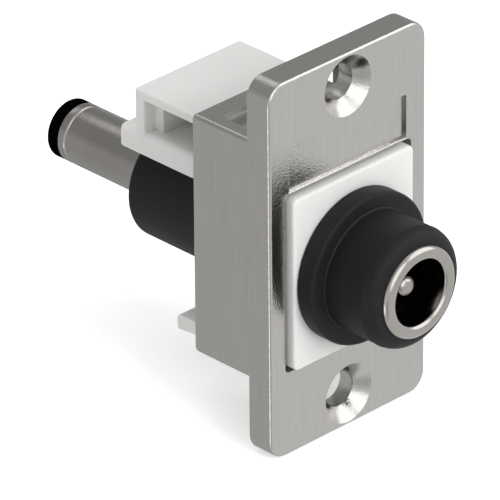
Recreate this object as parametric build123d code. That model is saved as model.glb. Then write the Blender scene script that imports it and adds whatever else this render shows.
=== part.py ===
from build123d import *

import math
import os

# DC power coupler in a keystone insert, held in a die-cast panel frame.
# The origin is the centre of the flange's rear face, midway between the two screw holes.
# -Y is the user's side, +Y goes behind the panel, +Z is up. Sizes are in millimetres.

# Flange of the frame
plate_width = 18.8
plate_height = 36.0
plate_thickness = 2.7
plate_corner_radius = 1.8
plate_edge_bevel = 0.25
screw_edge_distance = 3.1
screw_hole_diameter = 3.3
countersink_diameter = 5.6
label_width = 14.1
label_height = 4.24
label_depth = 0.45
label_ramp = 0.18
label_ridge = 0.08
label_corner_radius = 0.3

# Housing behind the flange
housing_wall = 0.85
housing_depth = 7.2
housing_rear_radius = 0.75
housing_edge_radius = 0.35
cavity_side_relief = 0.45
cavity_floor_relief = 0.28
latch_headroom = 3.95
latch_relief = 0.37
latch_relief_rear = 1.0
window_width = 14.8
window_length = 3.8
window_bridge = 2.2
opening_corner_radius = 0.5

# Keystone insert
insert_width = 14.5
insert_height = 16.55
insert_centre_z = -1.375
insert_proud = 0.75
insert_rear = 6.5
insert_edge_bevel = 0.25
insert_corner_radius = 0.6
insert_side_gap = 0.4
insert_end_gap = 0.27
insert_wall = 1.3
core_out_depth = 4.5
core_out_radius = 0.3

# Latch lever above the insert and the shelf that carries it
lever_width = 12.7
lever_thickness = 1.0
lever_front = 0.6
lever_rear = 16.8
lever_slot = 3.15
lever_edge_radius = 0.25
shelf_thickness = 2.05
shelf_setback = 0.05
shelf_side_radius = 0.9
shelf_edge_radius = 0.5
shelf_gap = 0.08
web_thickness = 1.1
post_length = 2.45
post_inset = 0.75
tooth_width = 6.4
tooth_catch = 0.33
tooth_ramp = 2.0
tooth_flat = 0.5
tooth_gap = 0.2

# Lower catch behind the housing
foot_rear = 10.9
foot_rise = 0.2
foot_neck_drop = 0.2
foot_drop = 1.265
foot_heel_rise = 0.35
foot_gap = 0.15
foot_chamfer = 0.45
gusset_height = 1.7
gusset_length = 3.0
gusset_thickness = 1.0
gusset_spacing = 8.0

# Black outer moulding of the coupler
axis_z = -1.71
body_diameter = 11.0
body_rear = 18.9
body_edge_bevel = 0.35
bore_clearance = 0.05
collar_diameter = 14.0
collar_thickness = 1.85
collar_edge_bevel = 0.25
nose_diameter = 11.06
nose_length = 5.65
nose_rounding = 1.25
bead_height = 0.25
bead_width = 0.8
bead_gap = 0.05

# Jack at the front
ring_proud = 0.55
ring_diameter = 8.5
ring_outer_bevel = 0.4
ring_inner_bevel = 0.3
shell_length = 11.0
shell_lip = 1.7
shell_bore_diameter = 7.2
shell_lock_diameter = 9.5
shell_lock_width = 1.0
shell_lock_place = 4.0
socket_diameter = 6.0
socket_depth = 10.0
insulator_fit = 0.03
insulator_tail = 1.5
insulator_tail_diameter = 8.2
pin_diameter = 2.1
pin_shank_diameter = 2.5
pin_recess = 1.5
pin_tip_radius = 0.8
pin_fit = 0.02
pin_head_diameter = 3.0
pin_head_thickness = 0.5
tail_diameter = 1.4
tail_length = 3.0

# Leaf spring that presses on the barrel of a plug in the jack
spring_width = 2.0
spring_thickness = 0.25
spring_slot_gap = 0.1
spring_front_gap = 1.2
spring_nose_length = 1.6
spring_dimple_height = 0.45
spring_bend_radius = 0.4

# Plug at the rear
plug_diameter = 5.5
plug_length = 13.0
barrel_wall = 0.42
barrel_root = 3.9
barrel_root_diameter = 6.0
barrel_flange_diameter = 7.4
barrel_flange_thickness = 0.8
rim_width = 1.0
rim_groove = 0.12
tip_length = 1.25
tip_edge_bevel = 0.15
tip_lead_in = 0.25
tube_fit = 0.03
contact_bore_diameter = 2.1
contact_wall = 0.3
contact_setback = 1.1
contact_root = 1.5
contact_bore_depth = 13.0
slit_width = 0.3
slit_length = 3.5
terminal_thickness = 0.4
terminal_bore_diameter = 3.6
terminal_tail_length = 2.6

# Inner moulding and the links that join jack and plug
core_diameter = 8.2
core_cover = 0.7
link_diameter = 0.9

# Places that follow from the sizes above
screw_spacing = plate_height - 2 * screw_edge_distance
insert_top = insert_centre_z + insert_height / 2
insert_bottom = insert_centre_z - insert_height / 2
insert_front = -plate_thickness - insert_proud
opening_top = insert_top + insert_end_gap
opening_bottom = insert_bottom - insert_end_gap
opening_width = insert_width + 2 * insert_side_gap
label_bottom = opening_top + label_ridge
label_top = label_bottom + label_height
cavity_top = opening_top + latch_headroom
relief_top = cavity_top + latch_relief
cavity_bottom = opening_bottom - cavity_floor_relief
cavity_width = opening_width + 2 * cavity_side_relief
housing_top = cavity_top + housing_wall
housing_bottom = cavity_bottom - housing_wall
housing_width = cavity_width + 2 * housing_wall
bore_diameter = body_diameter + 2 * bore_clearance
shelf_bottom = axis_z + body_diameter / 2 + shelf_gap
shelf_top = shelf_bottom + shelf_thickness
shelf_rear = body_rear - shelf_setback
lever_bottom = shelf_top + lever_slot
lever_top = lever_bottom + lever_thickness
window_rear = housing_depth - window_bridge
window_front = window_rear - window_length
collar_front = insert_front - collar_thickness
nose_front = collar_front - nose_length
ring_front = nose_front - ring_proud
shell_rear = ring_front + shell_length
socket_floor = ring_front + socket_depth
insulator_rear = shell_rear + insulator_tail
insulator_diameter = shell_bore_diameter - 2 * insulator_fit
tail_rear = insulator_rear + pin_head_thickness + tail_length
plug_tip = body_rear + plug_length
barrel_front = plug_tip - tip_length
barrel_rear = body_rear - barrel_root
terminal_front = barrel_rear - terminal_thickness
terminal_tail_front = terminal_front - terminal_tail_length
core_rear = barrel_rear + barrel_flange_thickness + core_cover
contact_diameter = contact_bore_diameter + 2 * contact_wall
contact_rear = barrel_rear + contact_root
contact_front = plug_tip - contact_setback
contact_tail_front = terminal_tail_front
spring_reach = shell_bore_diameter / 2 - insulator_fit
spring_z = axis_z - math.sqrt(spring_reach**2 - (spring_width / 2) ** 2) + spring_thickness / 2

coupler_axis = Axis((0, 0, axis_z), (0, 1, 0))
coupler_plane = Plane(origin=(0, 0, axis_z), x_dir=(0, 1, 0), z_dir=(1, 0, 0))
side_plane = Plane(origin=(0, 0, 0), x_dir=(0, 1, 0), z_dir=(1, 0, 0))


def slab(outline, front, rear):
    """Front-view outline given thickness from y = front to y = rear."""
    return extrude(Plane.XZ.offset(-rear) * outline, rear - front)


def panel(width, bottom, top, radius=0):
    """Front-view rectangle centred on x = 0, with rounded corners where a radius is given."""
    height = top - bottom
    centre = Pos(0, (top + bottom) / 2)
    if radius:
        return centre * RectangleRounded(width, height, radius)
    return centre * Rectangle(width, height)


def block(width, bottom, top, front, rear, radius=0):
    """Block centred on x = 0."""
    return slab(panel(width, bottom, top, radius), front, rear)


def side_profile(points, width, centre_x=0):
    """Side-view outline of (y, z) points given a width along X."""
    face = Pos(centre_x, 0, 0) * side_plane * make_face(Polyline(*points, close=True))
    return extrude(face, width / 2, both=True)


def turned(*points):
    """Body of revolution about the coupler's axis from (y, radius) points."""
    return revolve(coupler_plane * make_face(Polyline(*points, close=True)), coupler_axis)


def rod(diameter, front, rear):
    """Cylinder on the coupler's axis."""
    return turned((front, 0), (front, diameter / 2), (rear, diameter / 2), (rear, 0))


def tube(outer, inner, front, rear):
    """Tube on the coupler's axis."""
    return rod(outer, front, rear) - rod(inner, front, rear)


def rings_at(shape, y, radius):
    """Circular edges of a turned shape at one place along its axis."""
    found = shape.edges().filter_by(GeomType.CIRCLE)
    near = [e for e in found if abs(e.center().Y - y) < 1e-4 and abs(e.radius - radius) < 1e-4]
    return ShapeList(near)


def make_mounting_frame():
    """Die-cast flange with its housing, screw holes, label recess and latch window."""
    flange = block(
        plate_width, -plate_height / 2, plate_height / 2, -plate_thickness, 0, plate_corner_radius
    )
    flange = chamfer(flange.faces().sort_by(Axis.Y)[0].edges(), plate_edge_bevel)

    housing = block(housing_width, housing_bottom, housing_top, 0, housing_depth)
    long_edges = housing.edges().filter_by(Axis.Y)
    housing = fillet(long_edges, housing_edge_radius)
    housing = fillet(housing.faces().sort_by(Axis.Y)[-1].edges(), housing_rear_radius)
    frame = flange + housing

    frame -= block(cavity_width, cavity_bottom, cavity_top, 0, housing_depth, opening_corner_radius)
    frame -= block(
        opening_width, opening_bottom, opening_top, -plate_thickness, 0, opening_corner_radius
    )

    # The label recess is a closed pocket whose lower wall slopes out to the plate's face
    label_floor = -plate_thickness + label_depth
    recess = block(
        label_width, label_bottom, label_top, -plate_thickness, label_floor, label_corner_radius
    )
    ramp = side_profile(
        [
            (-plate_thickness, label_bottom),
            (label_floor, label_bottom),
            (label_floor, label_bottom + label_ramp),
        ],
        label_width,
    )
    frame -= recess - ramp

    # The window is cut through, and a relief in the ceiling thins the bridge behind it
    frame -= block(window_width, cavity_top - housing_wall, housing_top, window_front, window_rear)
    frame -= block(
        window_width, cavity_top - housing_wall, relief_top, window_front,
        housing_depth - latch_relief_rear,
    )
    rim = [
        e for e in frame.edges().filter_by(Axis.X)
        if abs(e.center().Y - window_rear) < 1e-4 and abs(e.center().Z - housing_top) < 1e-4
    ]
    frame = chamfer(rim, housing_edge_radius / 2)

    for place in (-screw_spacing / 2, screw_spacing / 2):
        bore_radius = screw_hole_diameter / 2
        mouth_radius = countersink_diameter / 2
        cone_rear = -plate_thickness + mouth_radius - bore_radius
        drill = make_face(
            Polyline(
                (-plate_thickness, 0), (-plate_thickness, mouth_radius), (cone_rear, bore_radius),
                (0, bore_radius), (0, 0), close=True,
            )
        )
        hole_plane = Plane(origin=(0, 0, place), x_dir=(0, 1, 0), z_dir=(1, 0, 0))
        frame -= revolve(hole_plane * drill, Axis((0, 0, place), (0, 1, 0)))
    return frame


def make_keystone_insert():
    """White moulding: front panel, bored body, shelf, latch lever and lower catch."""
    body = block(
        insert_width, insert_bottom, insert_top, insert_front, insert_rear, insert_corner_radius
    )
    body = chamfer(body.faces().sort_by(Axis.Y)[0].edges(), insert_edge_bevel)

    # Pockets cored out from the rear leave an even wall round the bore
    inner = block(
        insert_width - 2 * insert_wall, insert_bottom + insert_wall, insert_top - insert_wall,
        insert_rear - core_out_depth, insert_rear, core_out_radius,
    )
    body -= inner - rod(bore_diameter + 2 * insert_wall, insert_rear - core_out_depth, insert_rear)

    shelf = block(lever_width, shelf_bottom, shelf_top, insert_rear - insert_wall, shelf_rear)
    shelf = fillet(shelf.edges().filter_by(Axis.Y).group_by(Axis.Z)[-1], shelf_side_radius)
    shelf = fillet(shelf.faces().sort_by(Axis.Y)[-1].edges(), shelf_edge_radius)

    # The lever hangs from a web and a narrower post on the shelf, and reaches into the housing
    web_root = shelf_top - shelf_side_radius
    lever = side_profile(
        [
            (lever_front, lever_bottom),
            (lever_front, lever_top),
            (lever_rear, lever_top),
            (lever_rear, web_root),
            (lever_rear - web_thickness, web_root),
            (lever_rear - web_thickness, lever_bottom),
        ],
        lever_width,
    )
    outer_corner = [
        e for e in lever.edges().filter_by(Axis.X)
        if e.center().Y > lever_rear - 1e-4 and e.center().Z > lever_top - 1e-4
    ]
    lever = fillet(outer_corner, lever_edge_radius)
    post_rear = lever_rear - web_thickness
    post = Pos(0, post_rear - post_length / 2, (shelf_top + lever_bottom) / 2) * Box(
        lever_width - 2 * post_inset, post_length, lever_slot
    )
    tooth_rear = window_rear - tooth_gap
    tooth_front = tooth_rear - tooth_flat - tooth_ramp
    tooth = side_profile(
        [
            (tooth_front, lever_top),
            (tooth_rear - tooth_flat, relief_top + tooth_catch),
            (tooth_rear, relief_top + tooth_catch),
            (tooth_rear, lever_top),
        ],
        tooth_width,
    )

    # The catch hooks down behind the housing's lower wall
    foot_top = insert_bottom + foot_rise
    foot_front = housing_depth + foot_gap
    foot = side_profile(
        [
            (insert_rear - insert_wall, insert_bottom),
            (insert_rear, insert_bottom - foot_neck_drop),
            (foot_front, insert_bottom - foot_neck_drop),
            (foot_front, insert_bottom - foot_drop + foot_heel_rise),
            (foot_rear, insert_bottom - foot_drop),
            (foot_rear, foot_top - foot_chamfer),
            (foot_rear - foot_chamfer, foot_top),
            (insert_rear - insert_wall, foot_top),
        ],
        insert_width,
    )
    insert = body + shelf + lever + post + tooth + foot
    for side in (-1, 1):
        insert += side_profile(
            [
                (insert_rear - core_out_depth, foot_top),
                (insert_rear - core_out_depth, foot_top + gusset_height),
                (insert_rear, foot_top + gusset_height),
                (insert_rear + gusset_length, foot_top),
            ],
            gusset_thickness,
            side * gusset_spacing / 2,
        )
    insert -= rod(bore_diameter, insert_front, shelf_rear)
    relief_rear = insert_rear + bead_width + 3 * bead_gap
    return insert - rod(bore_diameter + 2 * bead_height + 2 * bead_gap, insert_rear, relief_rear)


def make_coupler_overmould():
    """Black outer moulding: nose, collar, body through the insert, strain end at the plug."""
    body_radius = body_diameter / 2
    collar_radius = collar_diameter / 2
    nose_radius = nose_diameter / 2
    bead_front = insert_rear + bead_gap
    bead_top = body_radius + bead_height
    outer = turned(
        (nose_front, 0),
        (nose_front, nose_radius),
        (collar_front, nose_radius),
        (collar_front, collar_radius),
        (insert_front, collar_radius),
        (insert_front, body_radius),
        (bead_front, body_radius),
        (bead_front, bead_top),
        (bead_front + bead_width / 2, bead_top),
        (bead_front + bead_width, body_radius),
        (body_rear, body_radius),
        (body_rear, 0),
    )
    outer = fillet(rings_at(outer, nose_front, nose_radius), nose_rounding)
    outer = chamfer(rings_at(outer, collar_front, collar_radius), collar_edge_bevel)
    outer = chamfer(rings_at(outer, body_rear, body_radius), body_edge_bevel)
    outer -= rod(ring_diameter, nose_front, shell_rear)
    lock_front = nose_front + shell_lock_place
    outer -= rod(shell_lock_diameter, lock_front, lock_front + shell_lock_width)
    outer -= rod(insulator_tail_diameter, shell_rear, insulator_rear)
    outer -= rod(core_diameter, insulator_rear, core_rear)
    return outer - rod(barrel_root_diameter, core_rear, body_rear)


def make_jack_shell():
    """Nickel-plated turned shell whose front end is the ring round the socket."""
    lock_front = nose_front + shell_lock_place
    shell = rod(ring_diameter, ring_front, shell_rear)
    shell += rod(shell_lock_diameter, lock_front, lock_front + shell_lock_width)
    shell -= rod(socket_diameter, ring_front, ring_front + shell_lip)
    shell -= rod(shell_bore_diameter, ring_front + shell_lip, shell_rear)
    shell = chamfer(rings_at(shell, ring_front, ring_diameter / 2), ring_outer_bevel)
    return chamfer(rings_at(shell, ring_front, socket_diameter / 2), ring_inner_bevel)


def make_jack_insulator():
    """Black liner of the socket, with its floor, pin hole and slot for the spring."""
    liner_front = ring_front + shell_lip + insulator_fit
    liner = rod(insulator_diameter, liner_front, shell_rear)
    liner += rod(insulator_tail_diameter, shell_rear, insulator_rear)
    liner -= rod(socket_diameter, liner_front, socket_floor)
    liner -= rod(pin_shank_diameter + 2 * pin_fit, socket_floor, insulator_rear)
    slot_width = spring_width + 2 * spring_slot_gap
    slot_height = spring_thickness + 2 * spring_slot_gap
    slot_front = ring_front + shell_lip + spring_front_gap - spring_slot_gap
    wall_slot = block(
        slot_width, axis_z - shell_bore_diameter / 2, spring_z + slot_height, slot_front, socket_floor
    )
    floor_slot = block(
        slot_width, spring_z - slot_height / 2, spring_z + slot_height / 2, socket_floor, insulator_rear
    )
    return liner - wall_slot - floor_slot


def make_jack_centre_pin():
    """Turned pin: rounded tip, thicker shank in the socket's floor, head and solder tail."""
    pin_front = ring_front + pin_recess
    head_rear = insulator_rear + pin_head_thickness
    pin = rod(pin_diameter, pin_front, socket_floor)
    pin = fillet(rings_at(pin, pin_front, pin_diameter / 2), pin_tip_radius)
    pin += rod(pin_shank_diameter, socket_floor, insulator_rear)
    pin += rod(pin_head_diameter, insulator_rear, head_rear)
    return pin + rod(tail_diameter, head_rear, tail_rear)


def make_jack_sleeve_spring():
    """Stamped leaf spring: tail, flat root in the floor's slot, dimple and lead-in."""
    spring_front = ring_front + shell_lip + spring_front_gap
    dimple_y = spring_front + spring_nose_length
    dimple_z = spring_z + spring_dimple_height + socket_gap_to_spring()
    path = FilletPolyline(
        (tail_rear, spring_z),
        (socket_floor - spring_nose_length, spring_z),
        (dimple_y, dimple_z),
        (spring_front, spring_z + spring_thickness),
        radius=spring_bend_radius,
    )
    strip = trace(path, spring_thickness)
    return extrude(side_plane * strip, spring_width / 2, both=True)


def socket_gap_to_spring():
    """How far the flat of the spring lies outside the socket's wall."""
    return axis_z - socket_diameter / 2 - spring_z


def make_plug_barrel():
    """Nickel-plated sleeve of the plug, stepped and flanged at its root, rolled at the tip."""
    radius = plug_diameter / 2
    barrel = rod(barrel_root_diameter, barrel_rear, body_rear)
    barrel += rod(plug_diameter, body_rear, barrel_front)
    barrel += rod(barrel_flange_diameter, barrel_rear, barrel_rear + barrel_flange_thickness)
    rim_rear = barrel_front - rim_width
    barrel -= turned(
        (rim_rear - 2 * rim_groove, radius), (rim_rear - rim_groove, radius - rim_groove),
        (rim_rear, radius),
    )
    return barrel - rod(plug_diameter - 2 * barrel_wall, barrel_rear, barrel_front)


def make_plug_insulator():
    """Black tube inside the barrel, moulded with the ring that closes the plug's tip."""
    sleeve_diameter = plug_diameter - 2 * barrel_wall - 2 * tube_fit
    piece = rod(sleeve_diameter, contact_rear, barrel_front)
    piece += rod(plug_diameter, barrel_front, plug_tip)
    piece = chamfer(rings_at(piece, plug_tip, plug_diameter / 2), tip_edge_bevel)
    piece -= rod(contact_diameter + 2 * tube_fit, contact_rear, contact_front)
    piece -= rod(contact_bore_diameter, contact_front, plug_tip)
    return chamfer(rings_at(piece, plug_tip, contact_bore_diameter / 2), tip_lead_in)


def make_plug_centre_contact():
    """Slit tube that takes a jack's pin, with a solder tail behind its closed end."""
    contact = rod(contact_diameter, terminal_front, contact_front)
    contact += rod(tail_diameter, contact_tail_front, terminal_front)
    contact -= rod(contact_bore_diameter, contact_front - contact_bore_depth, contact_front)
    slit_centre = contact_front - slit_length / 2
    for width, height in ((slit_width, contact_diameter), (contact_diameter, slit_width)):
        contact -= Pos(0, slit_centre, axis_z) * Box(width, slit_length, height)
    return contact


def make_plug_sleeve_terminal():
    """Washer pressed on the barrel's root, with a flat solder tail."""
    washer = tube(barrel_flange_diameter, terminal_bore_diameter, terminal_front, barrel_rear)
    tail = block(
        spring_width, spring_z - terminal_thickness / 2, spring_z + terminal_thickness / 2,
        terminal_tail_front, terminal_front,
    )
    return washer + tail


def make_link(z):
    """Straight copper link between two solder tails."""
    face = Pos(0, z) * Circle(link_diameter / 2)
    return slab(face, tail_rear, terminal_tail_front)


def make_inner_mould(held):
    """Inner moulding set round the solder tails, cut to the pieces that it holds."""
    mould = rod(core_diameter, insulator_rear, core_rear)
    for piece in held:
        mould -= piece
    return mould - rod(barrel_root_diameter, barrel_rear, core_rear)


pieces = {
    "mounting_frame": make_mounting_frame(),
    "keystone_insert": make_keystone_insert(),
    "coupler_overmould": make_coupler_overmould(),
    "jack_shell": make_jack_shell(),
    "jack_insulator": make_jack_insulator(),
    "jack_centre_pin": make_jack_centre_pin(),
    "jack_sleeve_spring": make_jack_sleeve_spring(),
    "plug_barrel": make_plug_barrel(),
    "plug_insulator": make_plug_insulator(),
    "plug_centre_contact": make_plug_centre_contact(),
    "plug_sleeve_terminal": make_plug_sleeve_terminal(),
    "centre_link": make_link(axis_z),
    "sleeve_link": make_link(spring_z),
}
held_by_mould = [
    pieces[name]
    for name in (
        "jack_centre_pin", "jack_sleeve_spring", "plug_barrel", "plug_centre_contact",
        "plug_sleeve_terminal", "centre_link", "sleeve_link",
    )
]
pieces["inner_mould"] = make_inner_mould(held_by_mould)

os.makedirs("parts", exist_ok=True)
for name, piece in pieces.items():
    export_step(piece, f"parts/{name}.step")
    print(name, "solids", len(piece.solids()), "volume", round(piece.volume, 1))
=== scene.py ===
"""Looks of a DC coupler in a keystone insert that a die-cast panel frame holds.

Sizes are in millimetres while a piece is modelled. Each finished piece is scaled to metres,
and its object sits at the origin of the frame's axes: -Y is the user's side, +Z is up.
"""

import logging
import math
from dataclasses import dataclass
from enum import Enum
from typing import Callable, Optional, Sequence

import bpy
from mathutils import Matrix, Vector

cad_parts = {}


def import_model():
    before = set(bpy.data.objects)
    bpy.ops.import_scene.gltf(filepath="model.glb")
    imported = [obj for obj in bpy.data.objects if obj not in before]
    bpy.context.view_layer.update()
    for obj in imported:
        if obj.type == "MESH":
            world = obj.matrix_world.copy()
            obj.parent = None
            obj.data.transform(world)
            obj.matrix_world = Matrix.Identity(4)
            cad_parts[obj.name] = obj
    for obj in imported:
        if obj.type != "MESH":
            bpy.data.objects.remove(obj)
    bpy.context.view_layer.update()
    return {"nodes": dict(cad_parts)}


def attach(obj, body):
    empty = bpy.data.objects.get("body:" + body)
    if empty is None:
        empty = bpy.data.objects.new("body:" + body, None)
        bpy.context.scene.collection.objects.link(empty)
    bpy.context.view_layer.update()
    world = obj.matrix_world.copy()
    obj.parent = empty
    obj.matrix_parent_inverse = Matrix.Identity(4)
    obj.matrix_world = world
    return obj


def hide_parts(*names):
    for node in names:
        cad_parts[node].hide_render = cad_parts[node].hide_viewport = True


LOG = logging.getLogger("coupler")
MILLIMETRE = 0.001  # in metres
AXIS_Z = -1.71  # height of the coupler's axis
TOUCH = 1e-4  # points nearer than this count as one
PAST = 1.0  # how far a cutter reaches past what it cuts
BITE = 0.1  # how far a selection or a cutter reaches past a place that it has to hold
CUTTER_FACES = 96
TURNED_SMOOTH = 32.0  # edges of turned pieces that turn by fewer degrees look smooth
NOISE_LOW, NOISE_HIGH = 0.3, 0.7  # the part of a noise's range that it mostly fills
BROAD, FINE = 3.0, 2.0  # octaves of a broad and of a fine noise

Span = tuple[float, float]
Point = tuple[float, float]
Triple = tuple[float, float, float]
EdgeTest = Callable[[Vector, Vector], bool]


class Cut(Enum):
    """What a boolean does with the second shape."""

    ADD = "UNION"
    TAKE = "DIFFERENCE"


class Along(Enum):
    """A row axis, by its index."""

    X = 0
    Y = 1
    Z = 2


# Modelling


def drop_selection() -> None:
    """Leave edit mode and deselect everything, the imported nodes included."""
    if bpy.context.mode != "OBJECT":
        bpy.ops.object.mode_set(mode="OBJECT")
    bpy.ops.object.select_all(action="DESELECT")


def hold(piece: bpy.types.Object) -> None:
    """Select one object alone and make it active.

    Args:
        piece: The object to work on.
    """
    drop_selection()
    piece.select_set(True)
    bpy.context.view_layer.objects.active = piece


def name_piece(name: str) -> bpy.types.Object:
    """Name the new active object and settle its place in its mesh.

    Args:
        name: Name for the object and its mesh.

    Returns:
        The active object.
    """
    piece = bpy.context.active_object
    piece.name = name
    piece.data.name = name
    bpy.ops.object.transform_apply(location=True, rotation=True, scale=True)
    return piece


def block(name: str, x: Span, y: Span, z: Span) -> bpy.types.Object:
    """Add a block between two corners.

    Args:
        name: Name for the object.
        x: Lowest and highest X.
        y: Lowest and highest Y.
        z: Lowest and highest Z.

    Returns:
        The new object.
    """
    drop_selection()
    middle = [(low + high) / 2 for low, high in (x, y, z)]
    bpy.ops.mesh.primitive_cube_add(size=1, location=middle)
    bpy.context.active_object.scale = [high - low for low, high in (x, y, z)]
    return name_piece(name)


def running(axis: Along) -> EdgeTest:
    """Test for edges that run along an axis.

    Args:
        axis: The axis.

    Returns:
        A test of an edge's two ends.
    """
    others = [other.value for other in Along if other is not axis]
    return lambda a, b: all(abs(a[i] - b[i]) < TOUCH for i in others)


def lying(axis: Along, place: float) -> EdgeTest:
    """Test for edges that lie in a plane square to an axis.

    Args:
        axis: The axis.
        place: Where the plane cuts it.

    Returns:
        A test of an edge's two ends.
    """
    return lambda a, b: all(abs(p[axis.value] - place) < TOUCH for p in (a, b))


def both(first: EdgeTest, second: EdgeTest) -> EdgeTest:
    """Test for edges that pass two tests.

    Args:
        first: One test.
        second: The other.

    Returns:
        A test of an edge's two ends.
    """
    return lambda a, b: first(a, b) and second(a, b)


def select_edges(piece: bpy.types.Object, test: EdgeTest) -> None:
    """Open a piece in edit mode with the edges that pass a test selected.

    Args:
        piece: The mesh object.
        test: Test of an edge's two ends.
    """
    hold(piece)
    bpy.ops.object.mode_set(mode="EDIT")
    bpy.ops.mesh.select_mode(type="EDGE")
    bpy.ops.mesh.select_all(action="DESELECT")
    bpy.ops.object.mode_set(mode="OBJECT")
    points = piece.data.vertices
    for edge in piece.data.edges:
        first, second = (points[i].co for i in edge.vertices)
        edge.select = test(first, second)
    bpy.ops.object.mode_set(mode="EDIT")


def shift_edges(piece: bpy.types.Object, test: EdgeTest, move: Triple) -> None:
    """Move the edges that pass a test.

    Args:
        piece: The mesh object.
        test: Test of an edge's two ends.
        move: How far, along each axis.
    """
    select_edges(piece, test)
    bpy.ops.transform.translate(value=move)
    bpy.ops.object.mode_set(mode="OBJECT")


def extend(piece: bpy.types.Object, near: Triple, move: Triple) -> None:
    """Extrude the face whose middle is nearest to a point.

    Args:
        piece: The mesh object.
        near: The point.
        move: How far, along each axis.
    """
    hold(piece)
    bpy.ops.object.mode_set(mode="EDIT")
    bpy.ops.mesh.select_mode(type="FACE")
    bpy.ops.mesh.select_all(action="DESELECT")
    bpy.ops.object.mode_set(mode="OBJECT")
    nearest = min(piece.data.polygons, key=lambda face: (face.center - Vector(near)).length)
    nearest.select = True
    bpy.ops.object.mode_set(mode="EDIT")
    bpy.ops.mesh.extrude_region_move(TRANSFORM_OT_translate={"value": move})
    bpy.ops.object.mode_set(mode="OBJECT")


def round_edges(piece: bpy.types.Object, test: EdgeTest, radius: float, steps: int) -> None:
    """Round the edges that pass a test.

    Args:
        piece: The mesh object.
        test: Test of an edge's two ends.
        radius: Radius of the rounding.
        steps: Segments across it.
    """
    select_edges(piece, test)
    bpy.ops.mesh.bevel(offset=radius, segments=steps, profile=0.5, affect="EDGES")
    bpy.ops.object.mode_set(mode="OBJECT")


def combine(piece: bpy.types.Object, other: bpy.types.Object, how: Cut) -> None:
    """Join a second shape to a piece, or take it away, and delete the second shape.

    Args:
        piece: The object that stays.
        other: The object that is used up.
        how: Add or take.
    """
    hold(piece)
    step = piece.modifiers.new("combine", "BOOLEAN")
    step.operation = how.value
    step.solver = "MANIFOLD"
    step.object = other
    bpy.ops.object.modifier_apply(modifier=step.name)
    bpy.data.objects.remove(other, do_unlink=True)


def soften(piece: bpy.types.Object, width: float, above: float, steps: int = 2) -> None:
    """Break every edge of a piece that turns by more than an angle.

    Args:
        piece: The mesh object.
        width: Width of the break.
        above: Angle in degrees past which an edge is broken.
        steps: Segments across it.
    """
    hold(piece)
    step = piece.modifiers.new("soften", "BEVEL")
    step.width = width
    step.segments = steps
    step.limit_method = "ANGLE"
    step.angle_limit = math.radians(above)
    step.use_clamp_overlap = True
    bpy.ops.object.modifier_apply(modifier=step.name)


def settle(piece: bpy.types.Object, smooth_below: float, even: bool = True) -> bpy.types.Object:
    """Finish a piece: clean mesh, normals outwards, smooth shading, scaled to metres.

    Args:
        piece: The mesh object, in millimetres.
        smooth_below: Angle in degrees under which an edge is shaded smooth.
        even: Whether large faces keep their own normal.

    Returns:
        The same object, at the origin.
    """
    hold(piece)
    bpy.ops.object.mode_set(mode="EDIT")
    bpy.ops.mesh.select_all(action="SELECT")
    bpy.ops.mesh.remove_doubles(threshold=TOUCH)
    bpy.ops.mesh.normals_make_consistent(inside=False)
    bpy.ops.object.mode_set(mode="OBJECT")
    piece.scale = (MILLIMETRE, MILLIMETRE, MILLIMETRE)
    bpy.ops.object.transform_apply(location=True, rotation=True, scale=True)
    bpy.ops.object.shade_smooth_by_angle(angle=math.radians(smooth_below))
    if even:
        step = piece.modifiers.new("even", "WEIGHTED_NORMAL")
        step.keep_sharp = True
        bpy.ops.object.modifier_apply(modifier=step.name)
    return piece


def arc(centre: Point, radius: float, start: float, end: float, steps: int) -> list[Point]:
    """Points of an arc in a turned profile.

    Args:
        centre: Its centre, as (y, radius from the axis).
        radius: Its radius.
        start: First angle in degrees, from +Y towards larger radii.
        end: Last angle in degrees.
        steps: Segments along it.

    Returns:
        The points, both ends included.
    """
    points = []
    for i in range(steps + 1):
        angle = math.radians(start + (end - start) * i / steps)
        points.append(
            (centre[0] + radius * math.cos(angle), centre[1] + radius * math.sin(angle))
        )
    return points


def turn(
    name: str,
    profile: Sequence[Point],
    segments: int,
    centre: Point = (0, AXIS_Z),
    ring: bool = False,
) -> bpy.types.Object:
    """Turn a piece from a circle that is extruded along its axis and resized at each step.

    Args:
        name: Name for the object.
        profile: Points as (y, radius), from one end to the other.
        segments: Faces round the piece.
        centre: X and Z of its axis.
        ring: Whether the profile closes on itself, instead of ending in two caps.

    Returns:
        The new object.
    """
    drop_selection()
    y, radius = profile[0]
    bpy.ops.mesh.primitive_circle_add(
        vertices=segments,
        radius=radius,
        fill_type="NOTHING" if ring else "NGON",
        location=(centre[0], y, centre[1]),
        rotation=(math.radians(90), 0, 0),
    )
    piece = name_piece(name)
    bpy.ops.object.mode_set(mode="EDIT")
    bpy.ops.mesh.select_mode(type="EDGE")
    bpy.ops.mesh.select_all(action="SELECT")
    for next_y, next_radius in profile[1:]:
        shift = {"value": (0, next_y - y, 0)}
        if ring:
            bpy.ops.mesh.extrude_edges_move(TRANSFORM_OT_translate=shift)
        else:
            bpy.ops.mesh.extrude_region_move(TRANSFORM_OT_translate=shift)
        grow = next_radius / radius
        bpy.ops.transform.resize(
            value=(grow, 1, grow), center_override=(centre[0], next_y, centre[1])
        )
        y, radius = next_y, next_radius
    if ring:
        bpy.ops.mesh.select_all(action="SELECT")
        bpy.ops.mesh.remove_doubles(threshold=TOUCH)
    bpy.ops.mesh.select_all(action="SELECT")
    bpy.ops.mesh.normals_make_consistent(inside=False)
    bpy.ops.object.mode_set(mode="OBJECT")
    return piece


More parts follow.
